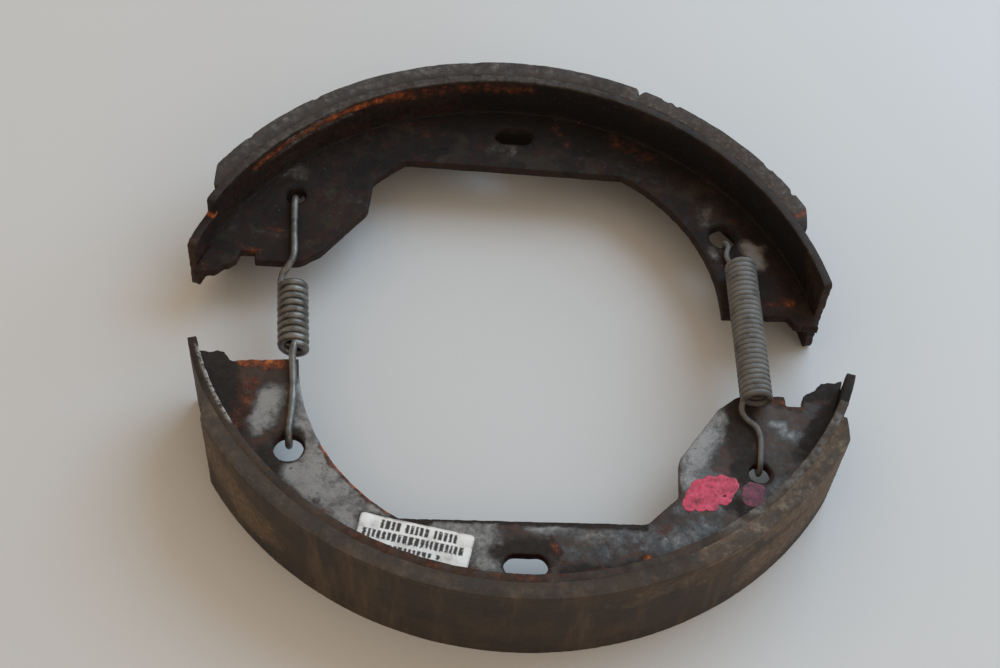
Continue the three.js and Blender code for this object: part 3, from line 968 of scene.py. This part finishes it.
def weld_section(swell):
    """The bead's section, as (inwards from the table, out from the web), and its buried corner."""
    leans = [math.radians(90) * k / (WELD_CURVE - 1) for k in range(WELD_CURVE)]
    curve = [(swell * (1 - math.sin(a)) - WELD_SINK, swell * (1 - math.cos(a)) - WELD_SINK) for a in leans]
    return [*curve, (-0.3, -0.2 - WELD_SINK)]


def weld_bead(shoe, side):
    """The bead on the web's upper face for a side of 1, or on its lower face for -1."""
    surface = WEB_TOP if side > 0 else WEB_BOTTOM
    angles = np.radians(np.arange(WELD_ENDS[0], WELD_ENDS[1] + WELD_STEP, WELD_STEP))
    points, faces = [], []
    for angle in angles:
        swell = 0.65 + 0.35 * wave(math.degrees(angle), side * 3.0, 9.0, 0.35, 3)
        swell += 0.35 * fade(math.cos(angle * WELD_STITCH), 0.6, 1.0)
        swell *= fade(min(angle - angles[0], angles[-1] - angle), -0.01, 0.05)
        for inwards, out in weld_section(swell):
            x, y = turned(TABLE_INNER - inwards, 0, angle)
            points.append((*shoe_to_pair(shoe, x, y), surface + side * out))
    row = WELD_CURVE + 1
    for i in range(0, len(points) - row, row):
        for k in range(row):
            m = (k + 1) % row
            faces.append((i + k, i + row + k, i + row + m, i + m))
    faces += [tuple(range(row)), tuple(range(len(points) - row, len(points)))[::-1]]
    return points, [face[::side] for face in faces]


def build_weld(shoe, material):
    """The beads where the web meets the table, on both faces of the web."""
    points, faces = joined([weld_bead(shoe, side) for side in (1, -1)])
    marks = {"rust": [0.2] * len(points), "dirt": [0.9] * len(points)}
    piece = make_piece(f"{shoe}_weld_beads", points, faces, material, marks)
    mount(piece, BODIES[shoe], WEB_SLOTS[shoe])


# -------- springs

# Arms are (x, y, rise): rise is over the height at which a wire lies just clear of the web.
SPRINGS = {
    "left_spring": {
        "slot": "heavy_spring",
        "wire": 1.95,
        "sides": 16,
        "coil": 8.3,
        "height": 15.2,
        "turns": 9.72,
        "turn_steps": 44,
        "first": 180,  # degrees, where the helix starts
        "top": (-58.7, 12.8),
        "end": (-56.65, -8.2),
        "upper_hole": NARROW_HOLE,
        "lower_hole": WIDE_HOLE,
        "upper_pull": (0.04, -1),
        "lower_pull": (-0.06, 1),
        "upper_arm": [(-59.7, 28.9, 0), (-59.1, 20.2, 0), (-60.3, 17, -0.575), (-61.6, 15.1, -1.775)],
        "lower_arm": [(-56.4, -11.1, 0.725), (-56.3, -13.1, 0.325), (-56, -15.5, 0), (-55.2, -25, 0)],
        "swell": 0.08,  # how much thicker the coil's wire is, so that turns touch
        "dust": 0.4,
    },
    "right_spring": {
        "slot": "light_spring",
        "wire": 1.5,
        "sides": 14,
        "coil": 8.2,
        "height": WEB_TOP + 4.4,
        "turns": 27.8,
        "turn_steps": 36,
        "first": 255,
        "top": (60.6, 22.6),
        "end": (62.5, -20.4),
        "upper_hole": WIDE_HOLE,
        "lower_hole": NARROW_HOLE,
        "upper_pull": (0.25, -1),
        "lower_pull": (0.05, 1),
        "upper_arm": [(57.8, 28.2, 0), (58.7, 25, 0)],
        "lower_arm": [(58.9, -22.4, 1.2), (60.4, -24.2, 0), (62.6, -26.2, 0), (63.5, -29.5, 0)],
        "swell": 0.2,
        "dust": 1.0,
    },
}
GAP = 0.3  # between a wire and the web
HOOK_TAIL = 3.0
HOOK_STEP = 15  # degrees
WIRE_STEP = 0.5
WIRE_TIP = (0.55, 0.86)  # how thin the last two sections are at a cut end


def hook(shoe, hole, toward_coil, wire):
    """The open hook round a hole's edge, from above the web to below it."""
    bend = HALF_WEB + GAP + wire / 2
    inner = bend - wire / 2
    reach = math.sqrt(inner ** 2 - HALF_WEB ** 2) - GAP
    pull = Vector((*toward_coil, 0)).normalized()
    hole_x, hole_y, radius = hole
    centre = Vector((*shoe_to_pair(shoe, hole_x, hole_y), MIDDLE)) + pull * (radius + reach)
    points = []
    for degrees in range(90, -91, -HOOK_STEP):
        lean = math.radians(degrees)
        points.append(centre - pull * bend * math.cos(lean) + Vector((0, 0, bend * math.sin(lean))))
    return points + [points[-1] + pull * HOOK_TAIL]


def coil(spring, start, end):
    """Helix along Y that turns over the top towards -X, with a little unevenness."""
    radius = (spring["coil"] - spring["wire"]) / 2
    steps = spring["turn_steps"]
    count = round(spring["turns"] * steps)
    points = []
    for i in range(count + 1):
        turn = math.radians(spring["first"] + 360 * spring["turns"] * i / count)
        centre = start.lerp(end, i / count)
        loose = radius * (1 + 0.006 * wave(i / steps, 0, 3, 0.8, 2))
        points.append(centre + Vector((loose * math.cos(turn), 0, loose * math.sin(turn))))
    return points


def smooth(points, step):
    """A centripetal curve through the points."""
    line = [points[0] * 2 - points[1], *points, points[-1] * 2 - points[-2]]
    path = []
    for p0, p1, p2, p3 in zip(line, line[1:], line[2:], line[3:]):
        t1 = (p1 - p0).length ** 0.5
        t2 = t1 + (p2 - p1).length ** 0.5
        t3 = t2 + (p3 - p2).length ** 0.5
        count = max(1, round((p2 - p1).length / step))
        for i in range(count):
            t = t1 + (t2 - t1) * i / count
            a1 = p0 * ((t1 - t) / t1) + p1 * (t / t1)
            a2 = p1 * ((t2 - t) / (t2 - t1)) + p2 * ((t - t1) / (t2 - t1))
            a3 = p2 * ((t3 - t) / (t3 - t2)) + p3 * ((t - t2) / (t3 - t2))
            b1 = a1 * ((t2 - t) / t2) + a2 * (t / t2)
            b2 = a2 * ((t3 - t) / (t3 - t1)) + a3 * ((t - t1) / (t3 - t1))
            path.append(b1 * ((t2 - t) / (t2 - t1)) + b2 * ((t - t1) / (t2 - t1)))
    return path + [points[-1]]


def spring_route(spring, top, end):
    """The wire's middle line, from the upper hook's tail to the lower one's."""
    wire = spring["wire"]
    clear = WEB_TOP + GAP + wire / 2
    points = hook("upper", spring["upper_hole"], spring["upper_pull"], wire)[::-1]
    points += [Vector((x, y, clear + rise)) for x, y, rise in spring["upper_arm"]]
    points += coil(spring, top, end)
    points += [Vector((x, y, clear + rise)) for x, y, rise in spring["lower_arm"]]
    points += hook("lower", spring["lower_hole"], spring["lower_pull"], wire)
    return smooth(points, WIRE_STEP)


def build_spring(name, spring, material):
    top, end = (Vector((*spring[key], spring["height"])) for key in ("top", "end"))
    path = spring_route(spring, top, end)
    angles = [2 * math.pi * k / spring["sides"] for k in range(spring["sides"])]
    taper = (*WIRE_TIP, 1.0)

    def section(i):
        worn = 1 - 0.03 * (1 + wave(i * 0.5, 4.0, 2.0, 0.7, 3))
        tip = taper[min(i, len(path) - 1 - i, len(WIRE_TIP))]
        y = path[i].y
        in_coil = fade(y, end.y - 1, end.y + 0.5) * fade(-y, -top.y - 1, 0.5 - top.y)
        radius = spring["wire"] / 2 * worn * tip * (1 + spring["swell"] * in_coil)
        return [(radius * math.cos(a), radius * math.sin(a)) for a in angles]

    points, faces = sweep(path, section)
    marks = {"dust": [spring["dust"]] * len(points)}
    piece = make_piece(f"{name}_wire", points, faces, material, marks)
    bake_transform(piece)
    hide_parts(name)


# -------- label and marker

LABEL = {"x": 27.1, "y": 71.5, "length": 28.4, "width": 9.8, "turn": math.radians(-11.8), "corner": 1.2}
LABEL_THICKNESS = 0.14

# Rows of plain bars, as (v, height, start, end), with a bar's widths and the gaps between bars.
LABEL_ROWS = ((2.9, 1.3, -7.0, 6.0), (0.1, 2.2, -12.2, 12.2), (-2.9, 2.2, -10.0, 9.0))
BAR_WIDTHS = (0.6, 1.1)
BAR_GAPS = (0.4, 0.45, 1.3)
GAP_CHANCES = (0.45, 0.4, 0.15)

# Short brush strokes of marker paint, as (x, y, length, width, degrees).
DAUBS = {
    "red": [
        (46.4, -46.3, 9.8, 4.0, 66), (49.0, -45.9, 11.2, 4.0, 64), (51.8, -45.5, 11.4, 4.0, 62),
        (54.4, -44.9, 8.8, 3.8, 60),
    ],
    "crimson": [(60.8, -45.4, 7.2, 5.8, 74)],
}


def ink_bars(rng):
    """Short bars in rows: print that says nothing."""
    bars = []
    for v, height, start, end in LABEL_ROWS:
        u = start
        while u < end:
            width = rng.uniform(*BAR_WIDTHS)
            bars.append((u, u + width, v - height / 2, v + height / 2))
            u += width + rng.choice(BAR_GAPS, p=GAP_CHANCES)
    return bars


def build_label(material):
    half_u, half_v = LABEL["length"] / 2, LABEL["width"] / 2
    signs = ((1, -1), (1, 1), (-1, 1), (-1, -1))
    corners = [(u * half_u, v * half_v, LABEL["corner"]) for u, v in signs]
    ring = rounded((-half_u, -half_v), corners, (half_u, -half_v))

    def lift(u, v):
        curl = 0.5 * fade(u, half_u - 5, half_u) * fade(-v, -2, half_v)
        curl += 0.35 * fade(-u, half_u - 4, half_u) * fade(v, 0, half_v)
        return 0.18 + curl + 0.05 * wave(u, v, 3.0, 0.25, 3)

    points, faces = plate(
        [ring], lambda u, v: lift(u, v) + LABEL_THICKNESS, lift,
        spacing=0.27, step=0.27, rim=0.03, ragged=lambda u, v: 0.05, seed=17,
    )
    bars = ink_bars(np.random.default_rng(8))
    placed, marks = [], {"ink": [], "rim": []}
    for u, v, w in points:
        x, y = turned(u, v, LABEL["turn"])
        placed.append((*shoe_to_pair("lower", LABEL["x"] + x, LABEL["y"] + y), WEB_TOP + w - 0.1))
        inked = any(left <= u <= right and low <= v <= high for left, right, low, high in bars)
        marks["ink"].append(float(inked))
        # The rim mark here is painted shadow along the label's edge.
        marks["rim"].append(fade(max(abs(u) - half_u, abs(v) - half_v), -0.5, -0.1))
    piece = make_piece("label_sticker", placed, faces, material, marks)
    mount(piece, "lower_shoe", "label", "web_label")


def daub(x, y, length, width, degrees):
    """One brush stroke on the lower web, in the pair's frame, with wandering edges."""
    reach = (length - width) / 2
    outline = np.vstack([
        arc(reach, 0, width / 2, -90, 90, 0.3),
        arc(-reach, 0, width / 2, 90, 270, 0.3),
    ])
    ring = np.array([turned(u, v, math.radians(degrees)) for u, v in outline]) + (x, y)

    def surface(u, v):
        return MIDDLE + web_top(*pair_to_shoe("lower", u, v), WEB_SEEDS["lower"])

    return plate(
        [ring], lambda u, v: surface(u, v) + 0.09, lambda u, v: surface(u, v) - 0.05,
        spacing=0.5, step=0.3, rim=0.02, ragged=lambda u, v: 0.4, seed=23,
    )


def build_marker(tone, daubs, material):
    """Marker paint that was brushed on after manufacture; it stands for no sign."""
    points, faces = joined([daub(*each) for each in daubs])
    piece = make_piece(f"{tone}_marker_daubs", points, faces, material)
    mount(piece, "lower_shoe", "worn_steel")


# -------- stage, in metres

CAMERA_LENS = 61.8  # mm
CAMERA_SENSOR = 36  # mm
CAMERA_PLACE = (-0.017, -0.2566, 0.3862)
CAMERA_AIM = (-0.0026, 0.0105, 0)
CAMERA_ROLL = 5.45  # degrees

LIGHTS = {
    "window": {"place": (0.5, 0.46, 0.62), "size": 0.9, "watts": 7.0, "colour": (0.42, 0.71, 1.0)},
    "room": {"place": (0.9, -0.7, 0.6), "size": 1.0, "watts": 1.6, "colour": (0.9, 0.95, 1.0)},
}
ROOM_COLOUR = (1.0, 0.82, 0.64, 1)
ROOM_STRENGTH = 0.68
FLOOR_REACH = 4.0


def stand(item, place, aim, roll=0.0):
    """Put a camera or light at a place, looking at its aim."""
    turn = (Vector(aim) - Vector(place)).to_track_quat("-Z", "Y")
    item.location = place
    item.rotation_mode = "QUATERNION"
    item.rotation_quaternion = turn @ Quaternion((0, 0, 1), math.radians(roll))


def add_camera():
    data = bpy.data.cameras.new("camera")
    data.sensor_width = CAMERA_SENSOR
    data.lens = CAMERA_LENS
    data.dof.use_dof = False
    camera = add_object("camera", data)
    stand(camera, CAMERA_PLACE, CAMERA_AIM, CAMERA_ROLL)
    bpy.context.scene.camera = camera


def add_light(name, place, size, watts, colour):
    """A round soft light that faces the object."""
    data = bpy.data.lights.new(name, "AREA")
    data.shape = "DISK"
    data.size = size
    data.energy = watts
    data.color = colour
    stand(add_object(name, data), place, (0, 0, 0))


def add_room():
    world = bpy.data.worlds.new("studio")
    world.use_nodes = True
    background = world.node_tree.nodes["Background"]
    background.inputs["Color"].default_value = ROOM_COLOUR
    background.inputs["Strength"].default_value = ROOM_STRENGTH
    bpy.context.scene.world = world
    bpy.context.scene.view_settings.view_transform = "Standard"


def add_floor(material):
    mesh = bpy.data.meshes.new("floor")
    signs = ((-1, -1), (1, -1), (1, 1), (-1, 1))
    mesh.from_pydata([(x * FLOOR_REACH, y * FLOOR_REACH, 0) for x, y in signs], [], [(0, 1, 2, 3)])
    mesh.materials.append(material)
    add_object("floor", mesh)


# -------- the object

add_camera()
finishes = make_materials()
for which in ("upper", "lower"):
    build_web(which, finishes[f"{which}_web"])
    build_table(which, finishes[f"{which}_table"])
    build_lining(which, finishes[f"{which}_lining"])
    build_weld(which, finishes[f"{which}_web"])
for spring_name, spring_data in SPRINGS.items():
    build_spring(spring_name, spring_data, finishes[spring_name])
build_label(finishes["label"])
for paint, strokes_of_paint in DAUBS.items():
    build_marker(paint, strokes_of_paint, finishes[paint])
add_room()
for light_name, light_data in LIGHTS.items():
    add_light(light_name, **light_data)
add_floor(finishes["floor"])
